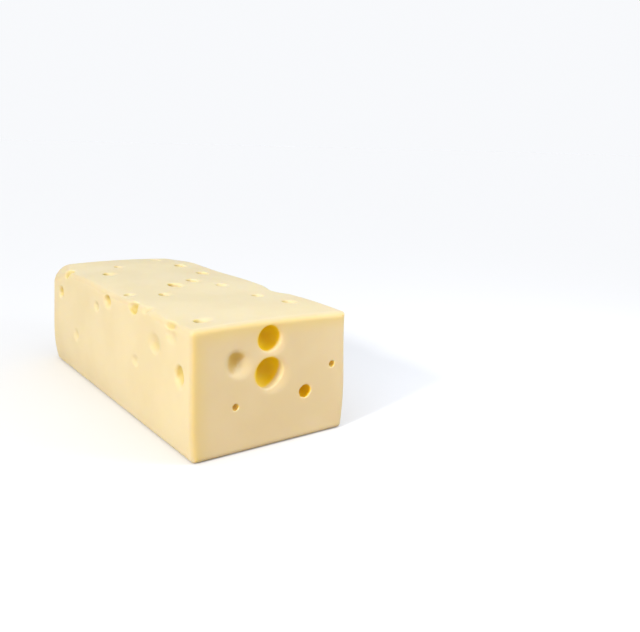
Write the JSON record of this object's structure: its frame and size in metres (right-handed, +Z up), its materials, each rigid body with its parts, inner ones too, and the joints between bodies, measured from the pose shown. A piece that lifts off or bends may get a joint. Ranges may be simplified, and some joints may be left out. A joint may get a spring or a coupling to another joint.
{
  "type": "swiss cheese block",
  "caption": "Long rectangular block of cheese for slicing, with rounded edges, a flat cut end, and round eyes in its cut end, top and sides.",
  "frame": {"origin": "middle of the flat bottom, at the middle of the bounding box", "axes": "+Z up, +Y along the length towards the rounded far end, so the flat cut end faces -Y, and +X across"},
  "size_m": [0.1314, 0.3034, 0.0934],
  "materials": {
    "cheese": "smooth and waxy, pale cream yellow, golden inside the deep eyes"
  },
  "bodies": {
    "root": {"cheese_block": "cheese"}
  },
  "joints": []
}
